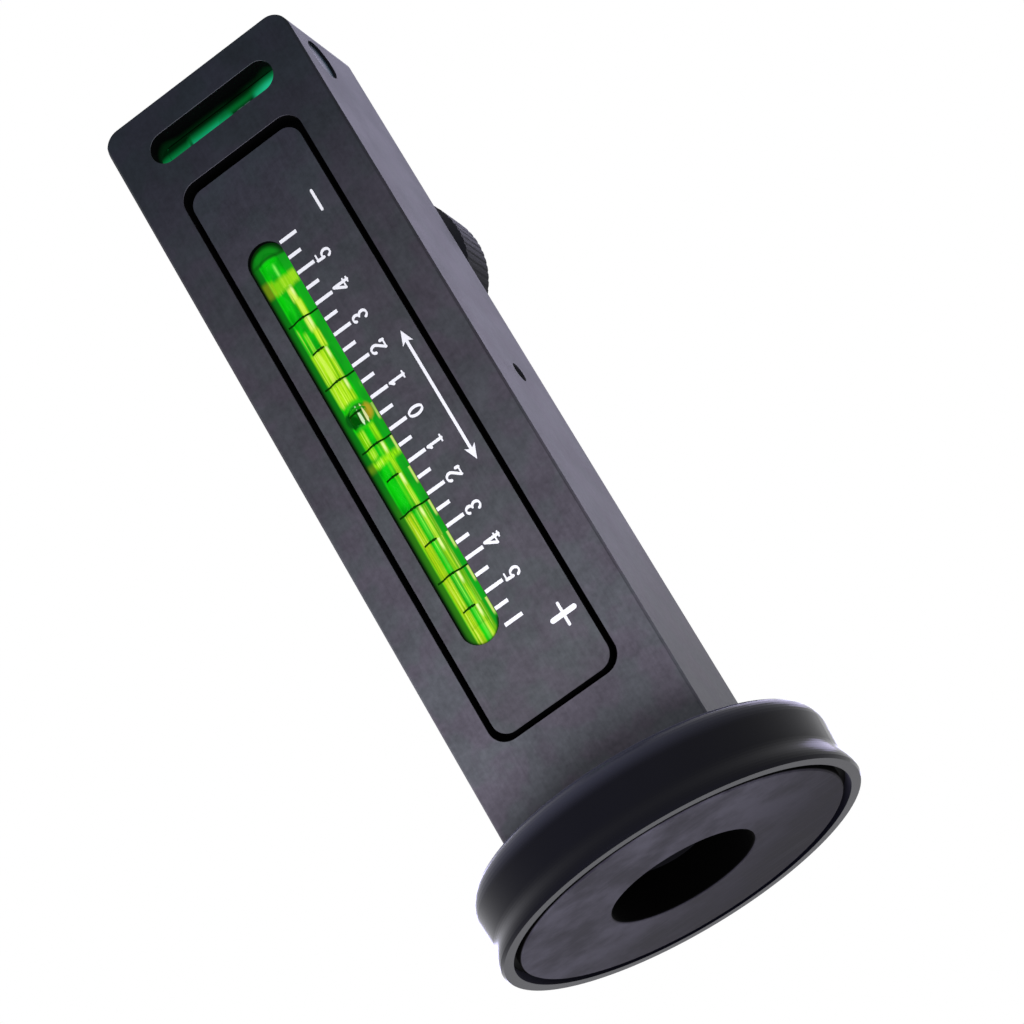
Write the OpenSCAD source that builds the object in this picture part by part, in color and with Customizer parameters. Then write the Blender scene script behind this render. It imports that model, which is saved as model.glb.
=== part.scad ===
// Camber and caster gauge: a milled bar on a round magnet base.
// The bar stands along +Z on the magnet's face (z = 0). The camber face looks
// along -Y and the caster face along +Y. All sizes are millimetres.

/* [Bar] */
// Width of the bar across the camber face
bar_w = 32; // [31:0.1:36]
// Depth of the bar from the camber face to the caster face
bar_d = 21.2; // [21:0.1:26]
// Height of the bar's top end above the magnet's face
bar_top = 134.2; // [133:0.1:150]
// Radius of the two top corners
bar_corner_r = 2.8; // [0.8:0.1:5]
// Chamfer along the bar's upright edges
bar_chamfer = 0.35; // [0.1:0.05:0.8]

/* [Face plates] */
// Width of each face plate
plate_w = 18.7; // [18.2:0.1:20]
// Length of each face plate
plate_len = 92.4; // [91:0.1:94]
// Height of the face plates' lower edge above the magnet's face
plate_z = 26; // [25:0.1:27]
// Thickness of each face plate
plate_t = 1.7; // [1.2:0.1:2]
// Corner radius of the face plates
plate_corner_r = 2.4; // [1:0.1:4]
// How far a plate's face lies below the bar's face
plate_recess = 0.1; // [0:0.05:0.5]
// Width of the open groove beside a plate
groove_w = 0.95; // [0.4:0.05:1.5]
// Width of the open groove above a plate's top edge
groove_top = 1.8; // [0.4:0.1:3]
// How far the groove is cut below the seat of the plate
groove_relief = 1.5; // [0.2:0.1:2.5]
// Width of the plate's edge that overhangs the groove
plate_overhang = 0.6; // [0.2:0.1:1]

/* [Camber vial] */
// Distance of the camber vial from the bar's middle
camber_x = -4; // [-4.5:0.1:-3.5]
// Height of the middle of the camber vial
camber_z = 72.2; // [71:0.1:73]
// Outer radius of the camber vial
camber_vial_r = 2.75; // [2.4:0.05:3]
// Length of the camber vial over its domed ends
camber_vial_len = 67.6; // [62:0.1:70]
// Gap between the camber vial and the edge of its window
camber_window_gap = 0.13; // [0.05:0.01:0.3]
// How far the vial's crown lies below the plate's face
camber_crown_drop = 0.5; // [0.2:0.05:0.8]
// How far the resin bead round the vial lies below the vial's crown
camber_bead_drop = 0.4; // [0.2:0.05:0.6]

/* [Caster vial] */
// Distance of the caster vial from the bar's middle
caster_x = -3.4; // [-4:0.1:-3]
// Height of the middle of the caster vial
caster_z = 59; // [58:0.1:60]
// Outer radius of the caster vial
caster_vial_r = 2.6; // [2.2:0.05:2.8]
// Length of the caster vial over its domed ends
caster_vial_len = 50; // [44:0.1:51]
// How much wider than the caster vial its window is
caster_window_extra_w = 0.2; // [0:0.1:1]
// How much shorter than the caster vial its window is
caster_window_less_len = 5; // [3:0.1:10]
// Depth of the caster vial's crown below the seat of the plate
caster_crown_drop = 2; // [1.9:0.05:2.4]

/* [Vial details] */
// Wall of the three vial tubes
vial_wall = 0.6; // [0.4:0.05:0.9]
// Length of the plugs' spigots inside the vial tubes
spigot_len = 1.2; // [0.8:0.1:3]
// Radius of the air bubble in the two long vials
bubble_r = 1.5; // [1:0.05:1.6]
// Straight length of the air bubbles
bubble_len = 0.6; // [0:0.1:4]
// Height of the camber vial's bubble above the vial's middle
camber_bubble_up = 4.2; // [-20:0.1:20]

/* [Tilting carrier] */
// Distance of the pivot pin from the carrier's underside
pivot_drop = 0.2; // [0.1:0.05:0.5]
// Height of the pivot pin
pivot_z = 72.2; // [71:0.1:74]
// Radius of the pivot pin
pin_r = 0.75; // [0.5:0.05:0.75]
// Wall of the pivot eye round the pin
pivot_eye_wall = 0.55; // [0.4:0.05:0.6]
// Width of the carrier
carrier_w = 15.8; // [14.8:0.1:16]
// Thickness of the carrier under the caster vial
carrier_floor = 0.9; // [0.6:0.05:1]
// Height of the carrier's lower end
carrier_z = 33; // [32:0.1:33.6]
// Height of the top of the block that holds the vial
carrier_block_top = 88; // [86.5:0.1:90]
// Height of the carrier's upper end
carrier_top = 107; // [105.5:0.1:108]
// Thickness of the tongue at the carrier's upper end
tongue_t = 2; // [1.5:0.1:2.4]
// Gap between the carrier and the side walls of its chamber
carrier_side_gap = 0.5; // [0.3:0.05:0.8]
// Room under the carrier for its tilt
carrier_room = 2.3; // [2.1:0.05:2.6]

/* [Adjusting screw] */
// Distance of the adjusting screw from the bar's middle
screw_x = 5.2; // [4.9:0.1:5.3]
// Height of the adjusting screw
screw_z = 101.8; // [100.5:0.1:102.5]
// Radius of the adjusting screw
screw_r = 2; // [1.6:0.05:2.05]
// Radius of the collar that presses on the carrier
collar_r = 2.8; // [2.4:0.05:2.9]
// Thickness of the collar
collar_t = 1; // [0.7:0.1:1.3]
// Play between the carrier's tongue and the collar or ring
tongue_play = 0.2; // [0.15:0.01:0.3]
// Thickness of the retaining ring
ring_t = 0.6; // [0.4:0.05:0.8]
// Radius of the knob
knob_r = 11.5; // [9:0.1:13]
// Thickness of the knob
knob_t = 9.4; // [6:0.1:12]
// Gap between the bar and the knob at mid travel
knob_gap = 1.6; // [1.4:0.1:3]
// Number of flutes round the knob's grip
knob_flutes = 60; // [24:1:72]
// Radius of one flute
flute_r = 0.5; // [0.3:0.02:0.6]
// Depth of one flute
flute_depth = 0.1; // [0.06:0.02:0.3]
// Chamfer on the knob's two rims
knob_chamfer = 1; // [0.4:0.1:1.6]

/* [Cross vial] */
// Length of the sight slot across the bar
slot_w = 21.4; // [19:0.1:22]
// Height of the sight slot
slot_h = 4.8; // [4:0.1:5.2]
// Distance of the sight slot's middle below the bar's top end
slot_drop = 6.9; // [6:0.1:8]
// Radius of the bore that takes the cross vial
cross_bore_r = 3.3; // [3.2:0.05:3.6]
// Distance of the cross vial from the bar's middle plane
cross_y = -3.6; // [-4.5:0.1:3]
// Radius of the cross vial
cross_vial_r = 3.1; // [2.9:0.05:3.15]
// Length of the cross vial
cross_vial_len = 25.8; // [24:0.1:26]
// Depth of the side plug's face below the bar's side
side_plug_drop = 0.45; // [0.3:0.05:2]
// Length of the side plug
side_plug_len = 2; // [1.5:0.1:2.4]

/* [Magnet base] */
// Radius of the cup's wall at its waist
waist_r = 25.8; // [24.6:0.1:29]
// How far the cup's lip stands out beyond its waist
lip_flare = 0.9; // [0.4:0.1:1.5]
// How far the cup's shoulder stands out beyond its waist
shoulder_swell = 0.25; // [0:0.05:0.6]
// Wall of the cup at its waist
cup_wall = 0.8; // [0.6:0.1:1.5]
// Height of the cup
cup_h = 11.1; // [10.5:0.1:13]
// Radius that rounds the cup's shoulder
shoulder_round = 3.2; // [2:0.1:4]
// Thickness of the cup's top wall
cup_top_t = 1.8; // [1.2:0.1:2.2]
// Radius of the hole through the ring magnet
magnet_hole_r = 10.5; // [9:0.1:12]
// Thickness of the ring magnet
magnet_t = 8.9; // [8:0.1:9]
// Width of the groove round the magnet
magnet_groove = 1; // [0.5:0.05:1.5]
// Depth of the open groove above the glue
glue_drop = 1.6; // [0.5:0.1:4]
// Radius of the base screw
base_screw_r = 3; // [2.5:0.1:4]
// Length of the base screw's thread in the bar
base_screw_grip = 10; // [6:0.1:11]

/* [Hidden] */
$fn = 96;

// Clearances
slip = 0.02;        // glued or pushed-in round pieces
run_fit = 0.05;     // round pieces that turn in their bores
seat_gap = 0.3;     // a vial above the floor of its trough
trough_gap = 0.2;   // a vial beside the walls of its trough
bubble_rise = 0.35; // an air bubble's bulge against its tube
thread_gap = 0.04;  // a screw in its tapped hole
over = 1;           // how far a cut runs past a face

// Planes of the bar
front_y = -bar_d / 2;
back_y = bar_d / 2;
camber_seat_y = front_y + plate_recess + plate_t;
caster_seat_y = back_y - plate_recess - plate_t;
seat_w = plate_w - 2 * plate_overhang;
seat_len = plate_len - 2 * plate_overhang;

// Camber vial and its trough
camber_y = front_y + plate_recess + camber_crown_drop + camber_vial_r;
trough_floor_y = camber_y + camber_vial_r + seat_gap;

// Carrier, its chamber and the caster vial
caster_y = caster_seat_y - caster_crown_drop - caster_vial_r;
carrier_y = caster_y - caster_vial_r - carrier_floor;
pivot_y = carrier_y - pivot_drop;
chamber_web_y = carrier_y - carrier_room;
carrier_face_y = caster_y + 0.45 * caster_vial_r;
carrier_corner_r = 1.2;
carrier_ribs = [36, 52, 68, 82];
rib_t = 1.2;
rib_pocket_x = 4.7;
rib_pocket_w = 3.6;
rib_pocket_r = 0.8;
chamber_w = carrier_w + 2 * carrier_side_gap;
chamber_low_gap = 3;
chamber_top_gap = 4;
chamber_z = carrier_z - chamber_low_gap;
chamber_len = carrier_top + chamber_top_gap - chamber_z;
chamber_corner_r = 2;
eye_r = pin_r + run_fit + pivot_eye_wall;
pin_reach = 4.2;

// Adjusting screw along Y: thread, ring groove, shank, collar, shank, knob
tongue_y = carrier_y + 2.5;
tongue_hole_gap = 0.3;
tongue_hole_len = 0.9;
shank_y = tongue_y - tongue_play;
ring_y = shank_y - ring_t;
ring_groove_r = screw_r - 0.3;
ring_gap = 1.6;
collar_y = tongue_y + tongue_t + tongue_play;
screw_reach = 5;
screw_spare = 1.35;
screw_end_y = chamber_web_y - screw_reach;
knob_y = back_y + knob_gap;
knob_bore = knob_t * 0.66;
plate_hole_r = screw_r + 0.8;

// Cross vial
slot_z = bar_top - slot_drop;
cross_bore_spare = 0.7;
cross_bore_end = -(cross_vial_len / 2 + cross_bore_spare);
side_plug_x = bar_w / 2 - side_plug_drop - side_plug_len;
cross_vial_x = side_plug_x - seat_gap - cross_vial_len;

// Pivot screw
pivot_screw_r = 1.5;
pivot_screw_len = 2.6;
pivot_screw_drop = 0.4;
pivot_screw_x = bar_w / 2 - pivot_screw_drop - pivot_screw_len;
driver_slot_w = 0.5;
driver_slot_deep = 0.8;

// Magnet base
cup_floor_z = cup_h - cup_top_t;
lip_r = waist_r + lip_flare;
shoulder_r = waist_r + shoulder_swell;
cup_bore_r = waist_r - cup_wall;
magnet_r = cup_bore_r - magnet_groove;
washer_t = 1.1;
lock_t = 1.3;
head_t = 2.6;
head_r = base_screw_r * 1.75;
washer_z = cup_floor_z - washer_t;
lock_z = washer_z - lock_t;
head_z = lock_z - head_t;

// A slab between two planes across Y, from an outline drawn in X and Z
module slab(y0, y1) {
    translate([0, y1, 0]) rotate([90, 0, 0]) linear_extrude(y1 - y0) children();
}

// A rounded rectangle, centred in X, with its lower edge at y = 0
module rounded(w, h, r) {
    translate([-w / 2, r]) square([w, h - 2 * r]);
    translate([-w / 2 + r, 0]) square([w - 2 * r, h]);
    for (x = [-w / 2 + r, w / 2 - r], y = [r, h - r])
        translate([x, y]) circle(r);
}

// A long hole with round ends, centred, that runs along X
module long_hole(len, w) {
    translate([-(len - w) / 2, -w / 2]) square([len - w, w]);
    for (x = [-(len - w) / 2, (len - w) / 2])
        translate([x, 0]) circle(w / 2);
}

// Round bars along each axis, from a starting point
module rod_x(x, y, z, r, len) {
    translate([x, y, z]) rotate([0, 90, 0]) cylinder(r = r, h = len);
}
module rod_y(x, y, z, r, len) {
    translate([x, y, z]) rotate([-90, 0, 0]) cylinder(r = r, h = len);
}
module rod_z(x, y, z, r, len) {
    translate([x, y, z]) cylinder(r = r, h = len);
}

// Tube, domed plugs and liquid of one vial, drawn along +Z from its lower end
module vial_tube(r, len) {
    translate([0, 0, r]) difference() {
        cylinder(r = r, h = len - 2 * r);
        translate([0, 0, -over]) cylinder(r = r - vial_wall, h = len - 2 * r + 2 * over);
    }
}
module vial_plug(r) {
    difference() {
        translate([0, 0, r]) sphere(r);
        translate([-r - over, -r - over, r]) cube([2 * r + 2 * over, 2 * r + 2 * over, r + over]);
    }
    translate([0, 0, r - over]) cylinder(r = r - vial_wall - slip, h = over + spigot_len);
}
module vial_plugs(r, len) {
    vial_plug(r);
    translate([0, 0, len]) mirror([0, 0, 1]) vial_plug(r);
}
module vial_liquid(r, len, bubble_at) {
    inner = r - vial_wall - slip;
    end = r + spigot_len;
    difference() {
        translate([0, 0, end]) cylinder(r = inner, h = len - 2 * end);
        translate([0, -(inner - bubble_r + bubble_rise), bubble_at]) {
            cylinder(r = bubble_r, h = bubble_len, center = true);
            for (z = [-bubble_len / 2, bubble_len / 2])
                translate([0, 0, z]) sphere(bubble_r);
        }
    }
}

// Front view of the bar: square foot, rounded top corners
module bar_outline() {
    len = bar_top - cup_h;
    translate([-bar_w / 2, cup_h]) square([bar_w, len - bar_corner_r]);
    translate([-bar_w / 2 + bar_corner_r, cup_h]) square([bar_w - 2 * bar_corner_r, len]);
    for (x = [-bar_w / 2 + bar_corner_r, bar_w / 2 - bar_corner_r])
        translate([x, bar_top - bar_corner_r]) circle(bar_corner_r);
}

// Plan of the bar: a rectangle with chamfered corners
module bar_plan() {
    x = bar_w / 2;
    y = bar_d / 2;
    c = bar_chamfer;
    polygon([[-x + c, -y], [x - c, -y], [x, -y + c], [x, y - c],
        [x - c, y], [-x + c, y], [-x, y - c], [-x, -y + c]]);
}

// Pocket for one face plate: the seat, and the deeper groove round it
module plate_pocket_outline() {
    translate([0, plate_z - groove_w])
        rounded(plate_w + 2 * groove_w, plate_len + groove_w + groove_top,
            plate_corner_r + groove_w / 2);
}
module plate_seat_outline() {
    translate([0, plate_z + plate_overhang])
        rounded(seat_w, seat_len, plate_corner_r - plate_overhang);
}
module plate_pocket(face_y, seat_y) {
    into = sign(seat_y - face_y);
    outer = face_y - into * over;
    relief = seat_y + into * groove_relief;
    slab(min(outer, seat_y), max(outer, seat_y)) plate_pocket_outline();
    slab(min(outer, relief), max(outer, relief)) difference() {
        plate_pocket_outline();
        plate_seat_outline();
    }
}

module body() {
    color("#3d3d45") difference() {
        intersection() {
            slab(front_y - over, back_y + over) bar_outline();
            linear_extrude(bar_top + over) bar_plan();
        }
        plate_pocket(front_y, camber_seat_y);
        plate_pocket(back_y, caster_seat_y);
        // trough of the camber vial
        slab(front_y, trough_floor_y) camber_outline(trough_gap);
        // chamber of the tilting carrier
        slab(chamber_web_y, back_y) translate([0, chamber_z])
            rounded(chamber_w, chamber_len, chamber_corner_r);
        // pivot pin, with its screw at the open end
        rod_x(-chamber_w / 2 - pin_reach, pivot_y, pivot_z, pin_r + slip, bar_w);
        rod_x(pivot_screw_x - slip, pivot_y, pivot_z, pivot_screw_r + slip, bar_w);
        // tapped hole of the adjusting screw
        rod_y(screw_x, screw_end_y - screw_spare, screw_z, screw_r + thread_gap, bar_d);
        // sight slot and the bore of the cross vial
        slab(front_y - over, back_y + over) translate([0, slot_z]) long_hole(slot_w, slot_h);
        rod_x(cross_bore_end, cross_y, slot_z, cross_bore_r, bar_w);
        // tapped hole of the base screw
        rod_z(0, 0, cup_h - over, base_screw_r + thread_gap, base_screw_grip + 1.5 + over);
    }
}

module face_plate_blank(y0) {
    slab(y0, y0 + plate_t) translate([0, plate_z]) rounded(plate_w, plate_len, plate_corner_r);
}

// Outline of the camber vial, wider by a gap all round
module camber_outline(gap) {
    translate([camber_x, camber_z]) rotate(90)
        long_hole(camber_vial_len + 2 * gap, 2 * camber_vial_r + 2 * gap);
}
module camber_plate() {
    color("#43434b") difference() {
        face_plate_blank(camber_seat_y - plate_t);
        slab(front_y - over, camber_seat_y + over) camber_outline(camber_window_gap);
    }
}

module caster_plate() {
    color("#43434b") difference() {
        face_plate_blank(caster_seat_y);
        slab(caster_seat_y - over, back_y + over) translate([caster_x, caster_z])
            rotate(90) long_hole(caster_vial_len - caster_window_less_len,
                2 * caster_vial_r + caster_window_extra_w);
        rod_y(screw_x, caster_seat_y - over, screw_z, plate_hole_r, bar_d);
    }
}

module at_camber() {
    translate([camber_x, camber_y, camber_z - camber_vial_len / 2]) children();
}
module camber_vial() {
    color("#9fe8a8") at_camber() vial_tube(camber_vial_r, camber_vial_len);
}
module camber_plugs() {
    color("#0d3d1c") at_camber() vial_plugs(camber_vial_r, camber_vial_len);
}
module camber_liquid() {
    color("#12d012") at_camber()
        vial_liquid(camber_vial_r, camber_vial_len, camber_vial_len / 2 + camber_bubble_up);
}

// Bead of clear resin that holds the camber vial in its window
module camber_bead() {
    bead_y = camber_y - camber_vial_r + camber_bead_drop;
    r = camber_vial_r + slip;
    color("#0a7a1c") difference() {
        slab(bead_y, camber_seat_y) camber_outline(camber_window_gap - slip);
        at_camber() {
            translate([0, 0, camber_vial_r]) cylinder(r = r, h = camber_vial_len - 2 * camber_vial_r);
            for (z = [camber_vial_r, camber_vial_len - camber_vial_r])
                translate([0, 0, z]) sphere(r);
        }
    }
}

// Carrier: a trough that grips the caster vial, a pivot eye and a tongue
module carrier() {
    block_len = carrier_block_top - carrier_z;
    color("#2b2c31") difference() {
        union() {
            slab(carrier_y, carrier_face_y) translate([0, carrier_z])
                rounded(carrier_w, block_len, carrier_corner_r);
            slab(tongue_y, tongue_y + tongue_t) translate([0, carrier_z])
                rounded(carrier_w, carrier_top - carrier_z, carrier_corner_r);
            rod_x(-carrier_w / 2, pivot_y, pivot_z, eye_r, carrier_w);
        }
        // bed of the vial
        rod_z(caster_x, caster_y, caster_z - caster_vial_len / 2 - slip,
            caster_vial_r + slip, caster_vial_len + 2 * slip);
        translate([caster_x - caster_vial_r - slip, caster_y, caster_z - caster_vial_len / 2 - slip])
            cube([2 * caster_vial_r + 2 * slip, bar_d, caster_vial_len + 2 * slip]);
        // moulded pockets between the ribs beside the vial
        for (i = [0 : len(carrier_ribs) - 2])
            slab(tongue_y, back_y) translate([rib_pocket_x, carrier_ribs[i] + rib_t / 2])
                rounded(rib_pocket_w, carrier_ribs[i + 1] - carrier_ribs[i] - rib_t, rib_pocket_r);
        // pivot bore and the long hole for the adjusting screw
        rod_x(-bar_w / 2, pivot_y, pivot_z, pin_r + run_fit, bar_w);
        slab(tongue_y - over, back_y) translate([screw_x, screw_z])
            rotate(90) long_hole(2 * screw_r + tongue_hole_len, 2 * screw_r + tongue_hole_gap);
    }
}

// The caster vial's bubble lies on the side of the caster face
module at_caster() {
    translate([caster_x, caster_y, caster_z - caster_vial_len / 2]) rotate(180) children();
}
module caster_vial() {
    color("#9fe8a8") at_caster() vial_tube(caster_vial_r, caster_vial_len);
}
module caster_plugs() {
    color("#0d3d1c") at_caster() vial_plugs(caster_vial_r, caster_vial_len);
}
module caster_liquid() {
    color("#12d012") at_caster() vial_liquid(caster_vial_r, caster_vial_len, caster_vial_len / 2);
}

module pivot_pin() {
    start = -chamber_w / 2 - pin_reach + slip;
    color("#b9bcc2") rod_x(start, pivot_y, pivot_z, pin_r, pivot_screw_x - 0.1 - start);
}
module pivot_screw() {
    color("#26262b") difference() {
        rod_x(pivot_screw_x, pivot_y, pivot_z, pivot_screw_r, pivot_screw_len);
        // slot for the driver
        translate([pivot_screw_x + pivot_screw_len - driver_slot_deep,
            pivot_y - driver_slot_w / 2, pivot_z - 2 * pivot_screw_r])
            cube([over, driver_slot_w, 4 * pivot_screw_r]);
    }
}

// Adjusting screw: thread in the web, ring groove, shank, collar and knob end
module adjusting_screw() {
    knob_end_y = knob_y + knob_bore - slip;
    color("#b9bcc2") {
        rod_y(screw_x, screw_end_y, screw_z, screw_r, ring_y - slip - screw_end_y);
        rod_y(screw_x, screw_end_y, screw_z, ring_groove_r, knob_end_y - screw_end_y);
        rod_y(screw_x, shank_y + slip, screw_z, screw_r, knob_end_y - shank_y - slip);
        rod_y(screw_x, collar_y, screw_z, collar_r, collar_t);
    }
}

module retaining_ring() {
    color("#8d9096") difference() {
        rod_y(screw_x, ring_y, screw_z, collar_r, ring_t);
        rod_y(screw_x, ring_y - over, screw_z, ring_groove_r + run_fit, ring_t + 2 * over);
        // the ring's open gap
        translate([screw_x - ring_gap / 2, ring_y - over, screw_z])
            cube([ring_gap, ring_t + 2 * over, 2 * collar_r]);
    }
}

// Knob: chamfered disc with a finely fluted grip and a dished outer face
module knob() {
    c = knob_chamfer;
    dish_r = knob_r * 0.66;
    color("#3a3a42") difference() {
        translate([screw_x, knob_y, screw_z]) rotate([-90, 0, 0]) rotate_extrude()
            polygon([[0, 0], [knob_r - c, 0], [knob_r, c], [knob_r, knob_t - c],
                [knob_r - c, knob_t], [dish_r, knob_t], [dish_r - 0.8, knob_t - 0.8],
                [0, knob_t - 0.8]]);
        rod_y(screw_x, knob_y - over, screw_z, screw_r + slip, knob_bore + over);
        for (i = [0 : knob_flutes - 1])
            translate([screw_x, knob_y - over, screw_z]) rotate([0, i * 360 / knob_flutes, 0])
                rod_y(knob_r + flute_r - flute_depth, 0, 0, flute_r, knob_t + 2 * over);
    }
}

module at_cross() {
    translate([cross_vial_x, cross_y, slot_z]) rotate([0, 90, 0]) children();
}
module cross_vial() {
    color("#6fd0b0") at_cross() vial_tube(cross_vial_r, cross_vial_len);
}
module cross_plugs() {
    color("#0d3d1c") at_cross() vial_plugs(cross_vial_r, cross_vial_len);
}
module cross_liquid() {
    color("#0f7f5f") at_cross() vial_liquid(cross_vial_r, cross_vial_len, cross_vial_len / 2);
}
module side_plug() {
    color("#4a4a52") rod_x(side_plug_x, cross_y, slot_z, cross_bore_r - slip, side_plug_len);
}

// Section of the cup: flared lip, waist, wall and rounded shoulder
module cup_section() {
    lip_z = 0.5;
    lip_round = 0.25;
    flare_h = 3.4;
    wall_h = cup_h - shoulder_round;
    hole_r = base_screw_r + 0.3;
    flare = [for (i = [0 : 8]) let (t = i / 8)
        [waist_r + lip_flare * (1 + cos(180 * t)) / 2, lip_z + flare_h * t]];
    shoulder = [for (i = [0 : 10]) let (a = 9 * i)
        [shoulder_r - shoulder_round + shoulder_round * cos(a), wall_h + shoulder_round * sin(a)]];
    polygon(concat([[cup_bore_r, 0], [lip_r - lip_round, 0]], flare, shoulder,
        [[hole_r, cup_h], [hole_r, cup_floor_z], [cup_bore_r, cup_floor_z]]));
}
module base_cup() {
    color("#17181f") rotate_extrude() cup_section();
}

// Flat ring drawn from its lower face
module ring(z, outer, inner, t) {
    translate([0, 0, z]) difference() {
        cylinder(r = outer, h = t);
        translate([0, 0, -over]) cylinder(r = inner, h = t + 2 * over);
    }
}
module ring_magnet() {
    c = 0.3;
    color("#4f4e56") rotate_extrude()
        polygon([[magnet_hole_r + c, 0], [magnet_r - c, 0], [magnet_r, c], [magnet_r, magnet_t],
            [magnet_hole_r, magnet_t], [magnet_hole_r, c]]);
}
module magnet_glue() {
    color("#0c0c0e") union() {
        ring(glue_drop, cup_bore_r, magnet_r, cup_floor_z - glue_drop);
        ring(magnet_t, magnet_r + magnet_groove / 2, magnet_hole_r + 0.5, cup_floor_z - magnet_t);
    }
}
module base_screw() {
    color("#1c1c20") difference() {
        union() {
            rod_z(0, 0, head_z, head_r, head_t);
            rod_z(0, 0, head_z, base_screw_r, cup_h + base_screw_grip - head_z);
        }
        // six-sided socket
        translate([0, 0, head_z - over])
            cylinder(r = base_screw_r * 0.95, h = head_t * 0.65 + over, $fn = 6);
    }
}
module lock_washer() {
    color("#6a6c72") difference() {
        ring(lock_z, head_r - 0.2, base_screw_r + 0.2, lock_t);
        translate([0, -0.6, lock_z - over]) cube([2 * head_r, 1.2, lock_t + 2 * over]);
    }
}
module flat_washer() {
    color("#8d9096") ring(washer_z, head_r + 1.6, base_screw_r + 0.2, washer_t);
}

body();
camber_plate();
camber_vial();
camber_liquid();
camber_plugs();
camber_bead();
caster_plate();
carrier();
caster_vial();
caster_liquid();
caster_plugs();
pivot_pin();
pivot_screw();
adjusting_screw();
knob();
retaining_ring();
cross_vial();
cross_liquid();
cross_plugs();
side_plug();
base_cup();
ring_magnet();
magnet_glue();
base_screw();
lock_washer();
flat_washer();
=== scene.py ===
"""Camber and caster gauge: finishes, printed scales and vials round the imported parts."""
import math

import bmesh
import bpy
from mathutils import Matrix, Vector


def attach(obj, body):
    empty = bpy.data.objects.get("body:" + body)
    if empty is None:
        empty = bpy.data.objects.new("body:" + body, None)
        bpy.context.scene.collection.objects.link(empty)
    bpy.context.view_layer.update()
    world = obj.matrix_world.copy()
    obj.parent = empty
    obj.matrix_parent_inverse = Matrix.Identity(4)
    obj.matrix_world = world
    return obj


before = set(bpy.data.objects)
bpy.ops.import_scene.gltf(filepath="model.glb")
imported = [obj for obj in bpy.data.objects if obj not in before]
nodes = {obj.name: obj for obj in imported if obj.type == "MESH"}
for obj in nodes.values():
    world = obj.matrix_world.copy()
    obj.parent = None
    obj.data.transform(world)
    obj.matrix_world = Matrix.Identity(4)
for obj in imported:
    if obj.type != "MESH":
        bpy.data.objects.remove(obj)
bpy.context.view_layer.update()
scene = bpy.context.scene
scene.view_settings.view_transform = "Standard"
MM = 0.001

# ---------------------------------------------------------------- camera
# The photograph looks up at the gauge from below its magnet, from the right of
# the camber face. The place and turn of the camera were fitted to the bar's
# edges and the base's circles; the lens is as long as that fit asks for.
CAMERA_PLACE = Vector((110.127, -472.836, -147.121)) * MM
CAMERA_RIGHT = Vector((0.795063, 0.379495, -0.473136))
CAMERA_UP = Vector((0.572687, -0.212785, 0.791677))
FOCAL_PIXELS = 3899.34
IMAGE_PIXELS = 1024
SENSOR_MM = 36.0

camera_data = bpy.data.cameras.new("camera")
camera_data.sensor_width = SENSOR_MM
camera_data.lens = FOCAL_PIXELS / IMAGE_PIXELS * SENSOR_MM
camera_data.clip_start = 0.01
camera = bpy.data.objects.new("camera", camera_data)
scene.collection.objects.link(camera)
camera_back = CAMERA_RIGHT.cross(CAMERA_UP)
turn = Matrix((CAMERA_RIGHT, CAMERA_UP, camera_back)).transposed().to_4x4()
camera.matrix_world = Matrix.Translation(CAMERA_PLACE) @ turn
scene.camera = camera


# ---------------------------------------------------------------- studio
# A pale laminate table under the gauge, in a white room. The photograph looks
# up from below the table top, so the table shows from above only, and it lets
# light through to the underside of the magnet.
def linear(code):
    """An sRGB hex colour as a linear colour."""
    values = [int(code[i:i + 2], 16) / 255 for i in (1, 3, 5)]
    return [v / 12.92 if v <= 0.04045 else ((v + 0.055) / 1.055) ** 2.4 for v in values] + [1.0]


def add(tree, kind, *inputs, output=None, **named):
    """Adds a node and gives its first output in use, or the one that output names.

    Inputs come in order, or by name with _ for a space; names in small letters are settings.
    An input is a number, a vector, a hex colour or another node's output.
    """
    made = tree.nodes.new("ShaderNode" + kind)
    for name, value in named.items():
        if name.islower():
            setattr(made, name, value)
    given = list(zip([socket for socket in made.inputs if socket.enabled], inputs))
    given += [(made.inputs[name.replace("_", " ")], value)
              for name, value in named.items() if not name.islower()]
    for socket, value in given:
        if isinstance(value, bpy.types.NodeSocket):
            tree.links.new(value, socket)
        else:
            socket.default_value = linear(value) if isinstance(value, str) else value
    if output:
        return made.outputs[output]
    return next((socket for socket in made.outputs if socket.enabled), None)


def product(tree, *factors):
    """Several values or masks multiplied together."""
    result = factors[0]
    for factor in factors[1:]:
        result = add(tree, "Math", result, factor, operation="MULTIPLY")
    return result


def coats(tree, paint, *layers):
    """Lays colours over a paint one after another, each where its mask is one."""
    for mask, colour in layers:
        paint = add(tree, "Mix", mask, paint, colour, data_type="RGBA")
    return paint


def mottling(tree, size, detail=3.0, roughness=0.5):
    """Noise with patches of a size in millimetres, or of one size for each of x, y and z."""
    sizes = size if isinstance(size, tuple) else (size, size, size)
    place = add(tree, "Mapping", add(tree, "TexCoord", output="Object"),
                Scale=[1.0 / (across * MM) for across in sizes])
    return add(tree, "TexNoise", place, 1.0, detail, roughness)


def new_material(name):
    """An empty material and its node tree."""
    made = bpy.data.materials.new(name)
    made.use_nodes = True
    made.node_tree.nodes.clear()
    return made, made.node_tree


TABLE_DROP = 0.4 * MM
TABLE_HALF = 1.6
table_mesh = bpy.data.meshes.new("table")
corners = [(-1, -1), (1, -1), (1, 1), (-1, 1)]
table_mesh.from_pydata([(x * TABLE_HALF, y * TABLE_HALF, -TABLE_DROP) for x, y in corners], [],
                       [(0, 1, 2, 3)])
table = bpy.data.objects.new("table", table_mesh)
scene.collection.objects.link(table)

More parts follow.
